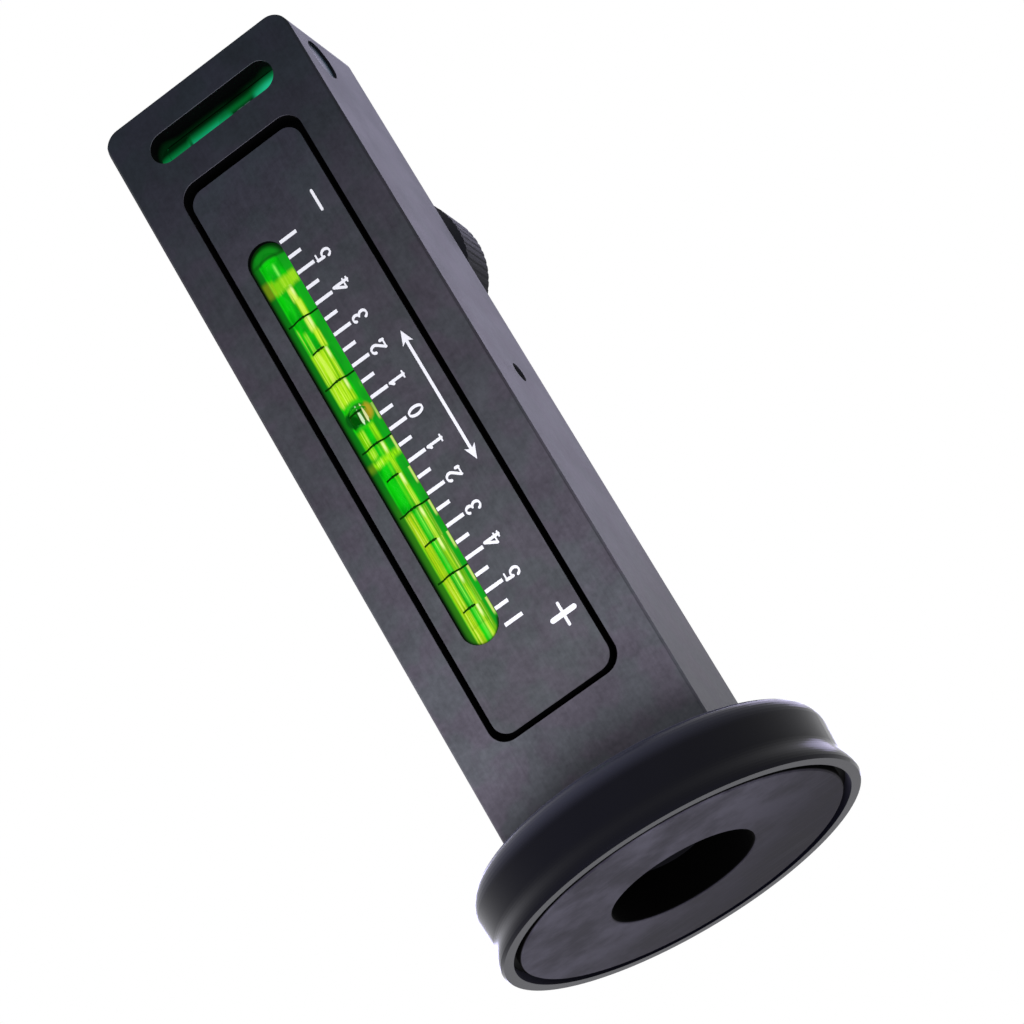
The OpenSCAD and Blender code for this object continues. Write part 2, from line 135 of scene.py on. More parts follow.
# laminate: even, pale and matt, with a grain that hardly shows
white_laminate, tree = new_material("white_laminate")
laminate = add(tree, "BsdfPrincipled", Roughness=0.6, Emission_Color="#ffffff",
               Emission_Strength=0.5,
               Base_Color=coats(tree, "#e6e6e6", (mottling(tree, 1.11), "#f0f0ef")))
top_side = add(tree, "Math", 1.0, add(tree, "NewGeometry", output="Backfacing"),
               operation="SUBTRACT")
shown = product(tree, add(tree, "LightPath", output="Is Camera Ray"), top_side)
add(tree, "OutputMaterial",
    add(tree, "MixShader", shown, add(tree, "BsdfTransparent"), laminate))
table_mesh.materials.append(white_laminate)

# the room is white where it is seen or mirrored, and lights the gauge only a little
world = bpy.data.worlds.new("white_room")
world.use_nodes = True
scene.world = world
tree = world.node_tree
tree.nodes.clear()
seen = 0.0
for ray in ("Is Camera Ray", "Is Glossy Ray", "Is Transmission Ray"):
    seen = add(tree, "Math", seen, add(tree, "LightPath", output=ray), operation="MAXIMUM")
room = add(tree, "Background", "#ffffff", 1.0)
fill = add(tree, "Background", "#f2f3ff", 0.32)
add(tree, "OutputWorld", add(tree, "MixShader", seen, fill, room))


def softbox(name, place, aim, size, watts, tint="#ffffff", mirrored=False):
    """A square softbox, out of the camera's sight; place, aim and size are in millimetres."""
    lamp = bpy.data.lights.new(name, "AREA")
    lamp.shape = "SQUARE"
    lamp.size = size * MM
    lamp.energy = watts
    lamp.color = linear(tint)[:3]
    box = bpy.data.objects.new(name, lamp)
    box.location = Vector(place) * MM
    box.rotation_euler = (Vector(place) - Vector(aim)).to_track_quat("Z", "Y").to_euler()
    box.visible_camera = False
    box.visible_glossy = mirrored
    scene.collection.objects.link(box)


softbox("low_front_softbox", (-50, -170, -110), (0, 0, 20), 110, 0.55, "#f6f5ff")
softbox("key_softbox", (-500, -560, 420), (0, 0, 70), 420, 1.2)
softbox("back_left_softbox", (-140, 480, 270), (0, 0, 10), 320, 1.0, "#cdcaff", mirrored=True)
softbox("back_right_softbox", (190, 520, 405), (0, 0, 85), 290, 0.48, "#d3caff", mirrored=True)

# ---------------------------------------------------------------- bar
# The bar is milled from solid aluminium, brushed and anodised black. Its camber
# face has a pocket for the plate, and the sight slot runs through near the top.
SMOOTH = {"interpolation_type": "SMOOTHSTEP"}
# places on the bar in millimetres, measured each way from its middle in x and y
INSIDE_X, INSIDE_Y, INSIDE_TOP_Z = 15.5, 10.38, 131.0
EDGE_LINE_X, EDGE_LINE_Y = 12.0, (10.43, 10.565)
SIDE_FACE_X, SIDE_FACE_Y = (15.5, 15.7), 10.45
TOP_FADE_Z, FOOT_FADE_Z, SIDE_FADE_Z = (136, 80), (90, 10), (85, 45)
# the sight slot, the part of its walls where green light from the vial is painted, and the bubble
# in it
SLOT_X, SLOT_Z = 11.0, (124.6, 130.1)
LIT_END_X, LIT_END_DEPTH, LIT_Y = (6.5, 9.5), 1.2, (-7.4, -5.4)
SLOT_BUBBLE_X = (1.6, 4.4)


def band(tree, value, low, high, soft):
    """One between low and high, with soft edges."""
    return product(tree, add(tree, "MapRange", value, low - soft, low + soft, **SMOOTH),
                   add(tree, "MapRange", value, high + soft, high - soft, **SMOOTH))


def place_mm(tree):
    """A point's x, y and z on the gauge, in millimetres."""
    place = add(tree, "TexCoord", output="Object")
    return [product(tree, add(tree, "SeparateXYZ", place, output=axis), 1.0 / MM)
            for axis in "XYZ"]


def surface(tree, **named):
    """Gives a material its Principled surface."""
    add(tree, "OutputMaterial", add(tree, "BsdfPrincipled", **named))


def black_anodised(name, top, middle, foot, edge_highlight=0.0):
    """Brushed, anodised aluminium: slate with a lavender cast, soft patches and faint streaks.

    The three colours run from the top end down to the foot as painted shade, darkest at the top.
    The streaks are drawn coarser than real brushing, so that they show.
    """
    made, tree = new_material(name)
    x, y, z = place_mm(tree)
    wide, deep = (add(tree, "Math", way, operation="ABSOLUTE") for way in (x, y))
    patches = mottling(tree, 6.67, 5.0, 0.6)
    streaks = mottling(tree, (0.385, 0.385, 11.1), 3.0, 0.6)
    dye_and_painted_light = coats(tree, top, (add(tree, "MapRange", z, *TOP_FADE_Z, **SMOOTH), middle),
                (add(tree, "MapRange", z, *FOOT_FADE_Z, **SMOOTH), foot))
    tints = add(tree, "MapRange", mottling(tree, 4.76), 0.4, 0.6, **SMOOTH)
    cast = coats(tree, "#fff7ff", (tints, "#f5fcfa"))
    dye_and_painted_light = add(tree, "VectorMath", dye_and_painted_light, cast, operation="MULTIPLY")
    tone = -0.045
    for pattern, share in ((patches, 0.75), (streaks, 0.3), (mottling(tree, 0.769, 3.0, 0.6), 0.6),
                           (mottling(tree, 2.326, 4.0, 0.65), 0.5)):
        tone = add(tree, "Math", tone, product(tree, pattern, share), operation="ADD")
    dye_and_painted_light = add(tree, "VectorMath", dye_and_painted_light, tone, operation="SCALE")

    # a painted highlight as a thin pale line on the milled edges, painted shade that darkens the
    # slot and the pockets, and painted light that makes the side faces paler towards the foot
    painted_edge_highlight = product(tree, band(tree, deep, *EDGE_LINE_Y, 0.02),
                   add(tree, "Math", wide, EDGE_LINE_X, operation="LESS_THAN"), edge_highlight)
    inside = product(tree, *(add(tree, "Math", way, end, operation="LESS_THAN")
                             for way, end in ((deep, INSIDE_Y), (wide, INSIDE_X),
                                              (z, INSIDE_TOP_Z))))
    side = product(tree, add(tree, "MapRange", wide, *SIDE_FACE_X, **SMOOTH),
                   add(tree, "Math", deep, SIDE_FACE_Y, operation="LESS_THAN"),
                   add(tree, "MapRange", z, *SIDE_FADE_Z, 0.0, 0.12, **SMOOTH))
    dye_and_painted_light = coats(tree, dye_and_painted_light, (painted_edge_highlight, "#8d8a94"), (inside, "#020203"), (side, "#9a98a4"))
    rough = add(tree, "Math", add(tree, "MapRange", patches, 0.3, 0.7, 0.43, 0.47, **SMOOTH),
                product(tree, inside, 0.9), operation="MAXIMUM")
    bump = add(tree, "Bump", Height=streaks, Strength=0.08, Distance=0.01 * MM)

    # painted green light from the cross vial, a glow on the slot's walls, less beside its bubble
    ends = add(tree, "MapRange", wide, *LIT_END_X, **SMOOTH)
    depth = add(tree, "Math", y, product(tree, ends, LIT_END_DEPTH), operation="ADD")
    past_bubble = add(tree, "Math", 1.0, product(tree, band(tree, x, *SLOT_BUBBLE_X, 1.2), 0.75),
                      operation="SUBTRACT")
    lit = product(tree, band(tree, z, *SLOT_Z, 0.2),
                  add(tree, "MapRange", depth, *LIT_Y, **SMOOTH),
                  add(tree, "Math", wide, SLOT_X, operation="LESS_THAN"), past_bubble, inside)
    surface(tree, Base_Color=dye_and_painted_light, Roughness=rough, Specular_IOR_Level=0.08, Normal=bump,
            Emission_Color=coats(tree, "#000000", (lit, "#011f0a")), Emission_Strength=1.0)
    return made


def dress(material, *names):
    """Gives CAD nodes their finish."""
    for name in names:
        nodes[name].data.materials.clear()
        nodes[name].data.materials.append(material)


def break_edges(name, width):
    """Rounds a milled piece's sharp edges a little; width is in millimetres."""
    bevel = nodes[name].modifiers.new("broken_edges", "BEVEL")
    bevel.width = width * MM
    bevel.segments = 2
    bevel.limit_method = "ANGLE"
    bevel.angle_limit = math.radians(50)
    bevel.harden_normals = False


# painted shade from the dark top to the pale foot, and a painted highlight on the milled edges
dress(black_anodised("black_anodised_bar", "#252930", "#46454a", "#5c5b60", 0.6), "body")
break_edges("body", 0.12)

# ---------------------------------------------------------------- face plates
# The two face plates are cut from brushed sheet, anodised, and screen printed
# in white. The camber scale counts six degrees each way in half degrees.
# painted shade from the dark top to the pale foot
plate_finish = black_anodised("black_anodised_plate", "#2c3039", "#49494d", "#565659")
dress(plate_finish, "camber_plate", "caster_plate")
break_edges("camber_plate", 0.10)
break_edges("caster_plate", 0.10)

# screen ink: a matt white film, slightly uneven, with a faint painted glow
white_ink, tree = new_material("white_screen_ink")
surface(tree, Base_Color=coats(tree, "#eeeff2", (mottling(tree, 0.385, 2.0), "#fbfbfd")),
        Roughness=0.55, Specular_IOR_Level=0.2, Emission_Color="#ffffff", Emission_Strength=0.12)

THIN, THICK = 0.10, 0.19


def arc(x, y, rx, ry, start, end, steps=18):
    """Points on an ellipse, from one angle to another in degrees."""
    angles = [math.radians(start + (end - start) * i / steps) for i in range(steps + 1)]
    return [(x + rx * math.cos(a), y + ry * math.sin(a)) for a in angles]


# Each figure is one high, and has its width and its pen strokes.
FIGURE_GAP = 0.12
FIGURES = {
    "0": (0.64, [arc(0.32, 0.5, 0.25, 0.44, 90, 450)]),
    "1": (0.50, [[(0.27, 0.95), (0.27, 0.04)], [(0.27, 0.95), (0.10, 0.78)],
                 [(0.06, 0.05), (0.48, 0.05)]]),
    "2": (0.62, [arc(0.31, 0.70, 0.23, 0.24, 165, -40) + [(0.07, 0.07)],
                 [(0.05, 0.06), (0.57, 0.06)], [(0.57, 0.06), (0.59, 0.22)]]),
    "3": (0.60, [arc(0.29, 0.73, 0.20, 0.21, 155, -90), arc(0.29, 0.28, 0.24, 0.24, 90, -155)]),
    "4": (0.66, [[(0.45, 0.95), (0.05, 0.30)], [(0.05, 0.28), (0.63, 0.28)],
                 [(0.46, 0.95), (0.46, 0.04)], [(0.30, 0.05), (0.62, 0.05)]]),
    "5": (0.60, [[(0.53, 0.93), (0.16, 0.93)], [(0.15, 0.93), (0.13, 0.52)],
                 arc(0.29, 0.32, 0.25, 0.27, 130, -155)]),
    "6": (0.62, [arc(0.31, 0.29, 0.23, 0.25, 90, 450), arc(0.58, 0.32, 0.50, 0.62, 104, 180)]),
    "8": (0.62, [arc(0.31, 0.73, 0.19, 0.21, 0, 360), arc(0.31, 0.28, 0.24, 0.24, 0, 360)]),
    "+": (0.90, [[(0.05, 0.5), (0.85, 0.5)], [(0.45, 0.1), (0.45, 0.9)]]),
    "-": (0.90, [[(0.05, 0.5), (0.85, 0.5)]]),
}


def pen_stroke(points):
    """The outline of a pen stroke as polygons; strokes are thick where they run up and down."""
    closed = math.dist(points[0], points[-1]) < 1e-6
    points = points[:-1] if closed else points
    count = len(points)
    left, right = [], []
    for i, (x, y) in enumerate(points):
        before = points[i - 1] if closed or i else points[i]
        after = points[(i + 1) % count] if closed or i < count - 1 else points[i]
        run = Vector((after[0] - before[0], after[1] - before[1])).normalized()
        half = (THIN + (THICK - THIN) * abs(run.y)) / 2
        left.append((x - run.y * half, y + run.x * half))
        right.append((x + run.y * half, y - run.x * half))
    spans = range(count if closed else count - 1)
    polygons = [[left[i], left[(i + 1) % count], right[(i + 1) % count], right[i]] for i in spans]
    if not closed:
        for tip, a, b in ((points[0], right[0], left[0]), (points[-1], left[-1], right[-1])):
            radius = math.dist(a, b) / 2
            start = math.degrees(math.atan2(a[1] - tip[1], a[0] - tip[0]))
            polygons.append([a] + arc(*tip, radius, radius, start, start - 180, 8)[1:-1] + [b])
    return polygons


class Print:
    """Flat white marks on a plate; level keeps marks that cross from lying in one plane."""
    INK_LIFT, LEVEL_STEP, LEVELS, INK_THICKNESS = 0.018, 0.002, 6, 0.014

    def __init__(self, name, face_y, outward):
        self.name, self.face_y, self.outward = name, face_y, outward
        self.mesh = bmesh.new()
        self.level = 0

    def mark(self, polygons):
        """Adds polygons given in millimetres across and up the plate."""
        self.level = self.level % self.LEVELS + 1
        lift = self.INK_LIFT + self.LEVEL_STEP * self.level
        y = (self.face_y + self.outward * lift) * MM
        for polygon in polygons:
            face = self.mesh.faces.new([self.mesh.verts.new((x * MM, y, z * MM))
                                        for x, z in polygon])
            face.normal_update()
            if face.normal.y * self.outward < 0:
                face.normal_flip()

    def tick(self, x0, x1, z, thickness):
        """A bar across the plate, from one x to another."""
        half = thickness / 2
        self.mark([[(x0, z - half), (x1, z - half), (x1, z + half), (x0, z + half)]])

    def figures(self, text, x_top, z, height):
        """Writes figures, tops towards the vial, centred on z, to be read from outside."""
        side = -self.outward
        width = sum(FIGURES[c][0] for c in text) + FIGURE_GAP * (len(text) - 1)
        start = -width / 2
        for c in text:
            for stroke in FIGURES[c][1]:
                self.mark([[(x_top + (1 - gy) * height, z + side * (start + gx) * height)
                            for gx, gy in polygon] for polygon in pen_stroke(stroke)])
            start += FIGURES[c][0] + FIGURE_GAP

    def finish(self):
        """Turns the marks into one printed film that rides on the gauge."""
        bmesh.ops.remove_doubles(self.mesh, verts=self.mesh.verts, dist=0.0005 * MM)
        data = bpy.data.meshes.new(self.name)
        self.mesh.to_mesh(data)
        self.mesh.free()
        made = bpy.data.objects.new(self.name, data)
        scene.collection.objects.link(made)
        data.materials.append(white_ink)
        ink = made.modifiers.new("ink_thickness", "SOLIDIFY")
        ink.thickness = self.INK_THICKNESS * MM
        ink.offset = -1
        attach(made, "gauge")


CAMBER_FACE_Y = -10.5
CAMBER_ZERO_Z = 71.55
DEGREE_MM = 5.455
CAMBER_TICK_X, WHOLE_TICK_END, HALF_TICK_END, CAMBER_TICK_MM = -1.05, 1.8, 1.05, 0.56
CAMBER_FIGURE_X, CAMBER_FIGURE_MM = 2.15, 2.4
CAMBER_SIGN_X, CAMBER_SIGN_MM = 4.4, 4.2
camber_print = Print("camber_scale_print", CAMBER_FACE_Y, -1)
for half_degree in range(-12, 13):
    tick_end = WHOLE_TICK_END if half_degree % 2 == 0 else HALF_TICK_END
    camber_print.tick(CAMBER_TICK_X, tick_end, CAMBER_ZERO_Z + half_degree * DEGREE_MM / 2,
                      CAMBER_TICK_MM)
for degree in range(-5, 6):
    camber_print.figures(str(abs(degree)), CAMBER_FIGURE_X, CAMBER_ZERO_Z + degree * DEGREE_MM,
                         CAMBER_FIGURE_MM)
camber_print.figures("-", CAMBER_SIGN_X, 106.2, CAMBER_SIGN_MM)
camber_print.figures("+", CAMBER_SIGN_X, 35.4, CAMBER_SIGN_MM)

# an arrow with a head at each end, beside the figures
ARROW_X, ARROW_LOW, ARROW_HIGH = 7.2, 60.5, 82.5
SHAFT_HALF, SHAFT_SHORT, BARB_HALF, HEAD_LENGTH, NOTCH = 0.22, 1.5, 0.85, 2.2, 0.75
camber_print.mark([[(ARROW_X - SHAFT_HALF, ARROW_LOW + SHAFT_SHORT),
                    (ARROW_X + SHAFT_HALF, ARROW_LOW + SHAFT_SHORT),
                    (ARROW_X + SHAFT_HALF, ARROW_HIGH - SHAFT_SHORT),
                    (ARROW_X - SHAFT_HALF, ARROW_HIGH - SHAFT_SHORT)]])
for tip, back in ((ARROW_LOW, HEAD_LENGTH), (ARROW_HIGH, -HEAD_LENGTH)):
    point, notch = (ARROW_X, tip), (ARROW_X, tip + back * NOTCH)
    camber_print.mark([[point, (ARROW_X + BARB_HALF, tip + back), notch],
                       [point, notch, (ARROW_X - BARB_HALF, tip + back)]])
camber_print.finish()

CASTER_FACE_Y = 10.5
CASTER_ZERO_Z = 48.2
CASTER_DEGREE_MM = 2.7
CASTER_TICK_X, EVEN_TICK_END, ODD_TICK_END, CASTER_TICK_MM = -0.45, 2.3, 1.5, 0.5
CASTER_FIGURE_X, CASTER_FIGURE_MM = 2.8, 2.2
CASTER_SIGN_X, CASTER_SIGN_MM = 2.2, 2.6
caster_print = Print("caster_scale_print", CASTER_FACE_Y, 1)
for degree in range(-4, 13):
    z = CASTER_ZERO_Z + degree * CASTER_DEGREE_MM
    even = degree % 2 == 0
    caster_print.tick(CASTER_TICK_X, EVEN_TICK_END if even else ODD_TICK_END, z, CASTER_TICK_MM)
    if even:
        caster_print.figures(str(abs(degree)), CASTER_FIGURE_X, z, CASTER_FIGURE_MM)
caster_print.figures("+", CASTER_SIGN_X, 85.6, CASTER_SIGN_MM)
caster_print.figures("-", CASTER_SIGN_X, 32.6, CASTER_SIGN_MM)
caster_print.finish()

# ---------------------------------------------------------------- camber vial
# A clear acrylic tube with domed plugs, full of bright green liquid with one
# air bubble, set in its window with a bead of resin. The tube bends light, so
# the liquid seems to fill it; the liquid carries a painted glow, with painted highlights in
# streaks along the tube.
REFRACTION = 1.55
LENS_CURVE = 0.166
CAMBER_AXIS = (-4, -7.25, 0)
CAMBER_TUBE_R = 2.75
CAMBER_ACROSS, CAMBER_TOWARDS = (0.974, 0.227, 0), (0.227, -0.974, 0)
CAMBER_SEEN_SHIFT = 0.737
CAMBER_BUBBLE_Z = 76.4
LINE_ZERO_Z = 71.42
LINE_STEP = 5.47
TUBE_END_Z = 103.6
WINDOW_ARC_Z = (41.15, 103.25)
VIAL_LIT, VIAL_GLOW = 0.3, 0.75


def seen_across(tree, centre, side, towards, outer):
    """How far across a vial each point of its liquid seems to lie, in millimetres.

    The tube bends light as a lens does. It is looked at from towards, and side points across it.
    """
    middle = add(tree, "VectorMath", add(tree, "TexCoord", output="Object"), Vector(centre) * MM,
                 operation="SUBTRACT")
    across, depth = (product(tree, add(tree, "VectorMath", middle, way, operation="DOT_PRODUCT"),
                             1.0 / MM) for way in (side, towards))
    lens = add(tree, "Math", product(tree, depth, (1.0 - 1.0 / REFRACTION) / outer),
               1.0 / REFRACTION, operation="ADD")
    seen = add(tree, "Math", across, lens, operation="DIVIDE")
    curve = product(tree, seen, seen, -LENS_CURVE / outer ** 2)
    return product(tree, seen, add(tree, "Math", curve, 1.0, operation="ADD"))


def distance(tree, a, b):
    """How far a point lies from nought, from its two distances at right angles."""
    return add(tree, "VectorMath", add(tree, "CombineXYZ", a, b), operation="LENGTH")


def degree_lengths(tree, along):
    """Counts the degree lines up to a point, and gives its share of the way to the next."""
    lengths = add(tree, "Math", add(tree, "Math", along, LINE_ZERO_Z, operation="SUBTRACT"),
                  LINE_STEP, operation="DIVIDE")
    return [add(tree, "Math", lengths, operation=part) for part in ("FLOOR", "FRACT")]


# Painted highlights where the liquid seems to glow, read from an enlarged view of the photograph:
# from and to along the vial, from and to across it, and the colour.
STREAKS = (
    (96.0, 98.3, 0.40, 1.20, "#d6f558"), (93.4, 96.2, 0.62, 1.42, "#c6f61c"),
    (90.8, 93.2, 0.45, 1.28, "#daf866"), (88.0, 90.9, 0.68, 1.42, "#d2f828"),
    (88.0, 91.2, -0.75, -0.35, "#7fea28"), (88.0, 92.2, -1.45, -1.15, "#34c81c"),
    (82.5, 87.8, -1.40, 1.22, "#aee61a"), (78.7, 82.3, -1.36, 1.24, "#aee61a"),
    (71.6, 74.3, -1.25, -0.30, "#8ce010"), (71.6, 74.6, 0.72, 1.38, "#9cec18"),
    (69.8, 71.3, -1.32, -0.30, "#8ede10"), (60.6, 71.3, 0.80, 1.34, "#b0ea22"),
    (60.6, 71.3, 0.26, 0.50, "#5ee820"), (36.0, 60.2, -1.34, -0.24, "#aed41a"),
    (36.0, 60.2, 0.82, 1.34, "#b4e628"), (36.0, 60.2, 1.48, 1.84, "#74b414"),
    (36.0, 60.2, 0.28, 0.52, "#62ec40"), (100.6, 102.6, 0.33, 0.66, "#74f45c"),
    (98.4, 100.9, -2.75, -1.40, "#6a8810"), (98.5, 100.8, -1.40, -0.75, "#8ecc1a"),
    (98.4, 100.3, -0.8, 0.25, "#7cce0e"), (98.5, 100.4, 0.20, 2.7, "#98dc1c"),
    (68.35, 69.25, -1.5, 2.7, "#98ea12"), (68.1, 69.2, -2.5, -1.5, "#5c8810"),
)


def green_paint(tree, across, along):
    """The green of the liquid, with painted shade deep on the left and painted glowing highlights
    in yellow streaks, in lengths between the degree lines.
    """
    length, share = degree_lengths(tree, along)
    fine, slow = (
        add(tree, "TexNoise", add(tree, "CombineXYZ", product(tree, across, per_across),
                                  product(tree, length, per_length),
                                  product(tree, along, per_along)), 1.0, detail)
        for per_across, per_length, per_along, detail in ((4.6, 3.7, 0.09, 2.0),
                                                          (0.8, 1.11, 0.27, 1.0)))
    deep = coats(tree, "#2a7610", (add(tree, "MapRange", along, 58, 66, **SMOOTH), "#067410"))
    paint = coats(
        tree, "#06a410", (add(tree, "MapRange", slow, 0.35, 0.65, **SMOOTH), "#0cca0e"),
        (add(tree, "MapRange", across, 1.4, 1.9, 0.0, 0.65, **SMOOTH), "#128e1c"),
        (add(tree, "MapRange", across, -1.30, -1.62, **SMOOTH), deep),
        (add(tree, "MapRange", across, -1.7, -2.7, 0.0, 0.75, **SMOOTH), "#083c0a"))
    glow = 0.0
    for low, high, left, right, colour in STREAKS:
        patch = product(tree, band(tree, along, low, high, 0.5),
                        band(tree, across, left, right, 0.24))
        paint = coats(tree, paint, (patch, colour))
        glow = add(tree, "Math", patch, glow, operation="MAXIMUM")

    # the painted glowing patches break up into darker threads and paler cores, which are painted
    # highlights
    glow = product(tree, glow, add(tree, "MapRange", across, -1.5, -1.2, **SMOOTH),
                   add(tree, "MapRange", along, 98.6, 98.2, 0.25, 1.0, **SMOOTH))
    threads = product(tree, add(tree, "MapRange", fine, 0.48, 0.36, **SMOOTH), glow, 0.75)
    cores = product(tree, add(tree, "MapRange", fine, 0.52, 0.62, **SMOOTH), glow, 0.6)
    pale = product(tree, band(tree, across, 0.9, 1.28, 0.12),
                   add(tree, "MapRange", share, 0.58, 0.82, **SMOOTH), glow)
    paint = coats(tree, paint, (threads, "#56b406"), (cores, "#dcf864"), (pale, "#ecffa4"))

    # the tube's end shows as a dark line near the top, with deeper green above it as painted shade
    # on the domed end
    arch = add(tree, "Math", along, product(tree, across, across, 0.05), operation="ADD")
    end_line = product(tree, band(tree, arch, TUBE_END_Z, TUBE_END_Z + 0.5, 0.25), 0.8)
    paint = coats(
        tree, paint,
        (add(tree, "MapRange", arch, TUBE_END_Z - 0.3, TUBE_END_Z + 0.4, 0.0, 0.9, **SMOOTH),
         "#0a7c16"),
        (end_line, "#045a08"))

    # painted shade: the green darkens towards the window's edge, round its two ends and on its
    # left
    low_end, high_end = WINDOW_ARC_Z
    past = 0.0
    for a, b in ((along, high_end), (low_end, along)):
        beyond = add(tree, "Math", a, b, operation="SUBTRACT")
        past = add(tree, "Math", beyond, past, operation="MAXIMUM")
    edge = distance(tree, past, across)
    top_edge = product(tree, add(tree, "MapRange", edge, 1.9, 2.8, **SMOOTH),
                       add(tree, "MapRange", along, 103, 104, **SMOOTH))
    shaded = add(tree, "Math", add(tree, "MapRange", across, 0.5, -0.5, **SMOOTH),
                 add(tree, "MapRange", along, 41.5, 40.5, **SMOOTH), operation="MAXIMUM")
    shaded = product(tree, add(tree, "MapRange", edge, 2.15, 2.6, **SMOOTH), shaded)
    return coats(tree, paint, (top_edge, "#023006"), (shaded, "#0a2c08"))


# An air bubble painted as ovals laid over one another: light green round it, its body, a dark
# hollow on the left in painted shade, an amber side, and painted highlights with dark streaks.
# Each row gives the oval's middle across and half width, its middle and half height along, how
# soft it is, and its colour.
BUBBLE_OVALS = (
    (0.30, 2.20, 0.1, 2.60, 0.30, "#34c812"), (0.42, 2.10, 0.0, 1.90, 0.65, "#0c8e14"),
    (-0.90, 1.10, -0.1, 1.60, 0.40, "#00540a"), (1.60, 0.95, -0.1, 1.60, 0.10, "#b0a022"),
    (0.02, 0.10, -0.1, 1.75, 0.50, "#1c4a0e"), (0.34, 0.24, -0.1, 1.75, 0.50, "#e6ffd8"),
    (0.70, 0.10, -0.1, 1.75, 0.50, "#48681c"), (1.04, 0.21, -0.1, 1.75, 0.50, "#f2f2b4"),
)


def bubble_paint(tree, paint, across, along, bubble_z):
    """Lays the ovals of an air bubble over the dye."""
    for x, half_x, z, half_z, soft, colour in BUBBLE_OVALS:
        away = [add(tree, "Math", add(tree, "Math", way, middle, operation="SUBTRACT"), half,
                    operation="DIVIDE")
                for way, middle, half in ((across, x, half_x), (along, bubble_z + z, half_z))]
        far = add(tree, "Math", *(product(tree, part, part) for part in away), operation="ADD")
        paint = coats(tree, paint, (add(tree, "MapRange", far, 1.0, soft, **SMOOTH), colour))
    return paint


def glow_paint(tree, paint, lit, glow):
    """A surface that shows a paint partly by the lamps and partly by a painted glow of its own."""
    surface(tree, Base_Color=add(tree, "VectorMath", paint, lit, operation="SCALE"),
            Roughness=0.35, Specular_IOR_Level=0.05, Emission_Color=paint, Emission_Strength=glow)


# dyed vial liquid: deep and clear, with a painted glow, painted highlights and painted shade
camber_liquid, tree = new_material("green_vial_liquid")
seen = seen_across(tree, CAMBER_AXIS, CAMBER_ACROSS, CAMBER_TOWARDS, CAMBER_TUBE_R)
across = add(tree, "Math", seen, CAMBER_SEEN_SHIFT, operation="ADD")
along = place_mm(tree)[2]
dye_and_painted_light = green_paint(tree, across, along)
glow_paint(tree, bubble_paint(tree, dye_and_painted_light, across, along, CAMBER_BUBBLE_Z), VIAL_LIT, VIAL_GLOW)
dress(camber_liquid, "camber_liquid", "camber_plugs")

# clear resin, painted with the green of the vial behind it, with a painted pale highlight and a
# brown rim on the right
BEAD_MIDDLE_X = -4.21
resin, tree = new_material("green_resin_bead")
x, _, along = place_mm(tree)
across = product(tree, add(tree, "Math", x, BEAD_MIDDLE_X, operation="SUBTRACT"),
                 CAMBER_ACROSS[0])
paint = bubble_paint(tree, green_paint(tree, across, along), across, along, CAMBER_BUBBLE_Z)
painted_highlight_rim = product(tree, band(tree, across, 2.42, 2.72, 0.1),
                   add(tree, "MapRange", degree_lengths(tree, along)[1], 0.45, 0.6, **SMOOTH),
                   add(tree, "MapRange", along, 81.5, 72.0, **SMOOTH))
brown_rim = product(tree, add(tree, "MapRange", across, 2.72, 2.8, **SMOOTH),
                    add(tree, "MapRange", along, 82.0, 78.0, **SMOOTH))
glow_paint(tree, coats(tree, paint, (painted_highlight_rim, "#c8e070"), (brown_rim, "#4c3c14")),
           VIAL_LIT, VIAL_GLOW)
dress(resin, "camber_bead")


def tube_acrylic(name, centre, axis, split):
    """Clear acrylic that bends light at its outer wall only, as the liquid wets its bore.

    The bore lies within split, a radius in millimetres, and the outer wall beyond it.
    """
    made, tree = new_material(name)
    middle = add(tree, "VectorMath", add(tree, "TexCoord", output="Object"), Vector(centre) * MM,
                 operation="SUBTRACT")
    middle = add(tree, "VectorMath", middle, [float(letter != axis) for letter in "XYZ"],
                 operation="MULTIPLY")
    radius = add(tree, "VectorMath", middle, operation="LENGTH")
    through = add(tree, "Math", radius, split * MM, operation="LESS_THAN")
    facing = add(tree, "SeparateXYZ", add(tree, "TexCoord", output="Normal"), output=axis)
    end = add(tree, "Math", add(tree, "Math", facing, operation="ABSOLUTE"), 0.5,
              operation="GREATER_THAN")
    for clear_for in (end, add(tree, "LightPath", output="Is Shadow Ray"),
                      add(tree, "LightPath", output="Is Diffuse Ray")):
        through = add(tree, "Math", through, clear_for, operation="MAXIMUM")
    bent = add(tree, "BsdfRefraction", Color="#ffffff", Roughness=0.0, IOR=1.49)
    add(tree, "OutputMaterial",
        add(tree, "MixShader", through, bent, add(tree, "BsdfTransparent")))
    return made


dress(tube_acrylic("clear_acrylic_camber", CAMBER_AXIS, "Z", 2.45), "camber_vial")

# printing ink: black lines, long at every other degree, which look dark green over the dye
line_ink, tree = new_material("black_line_ink")
surface(tree, Base_Color="#0b4206", Roughness=0.7, Specular_IOR_Level=0.0, Alpha=0.85)

BEAD_FRONT_Y = -9.615
LINE_R = 2.762
LONG_LINE, SHORT_LINE = (-6.35, -1.25), (-5.3, -3.2)
LINE_STEPS = 60
LINE_DROP = 0.1
LINE_HALF, STREAK_SWELL, STREAK_HALF, STREAK_X = 0.15, 0.08, 0.13, (-4.15, -3.65)


def line_y(x):
    """The front of the vial or its bead at a distance across the window."""
    centre_x, centre_y, _ = CAMBER_AXIS
    tube = centre_y - math.sqrt(max(0.0, LINE_R ** 2 - (x - centre_x) ** 2))
    return min(tube, BEAD_FRONT_Y)


def line_half(x):
    """Half the width of a line, which looks wider where it crosses the two streaks."""
    return LINE_HALF + sum(STREAK_SWELL * math.exp(-((x - streak) / STREAK_HALF) ** 2)
                           for streak in STREAK_X)


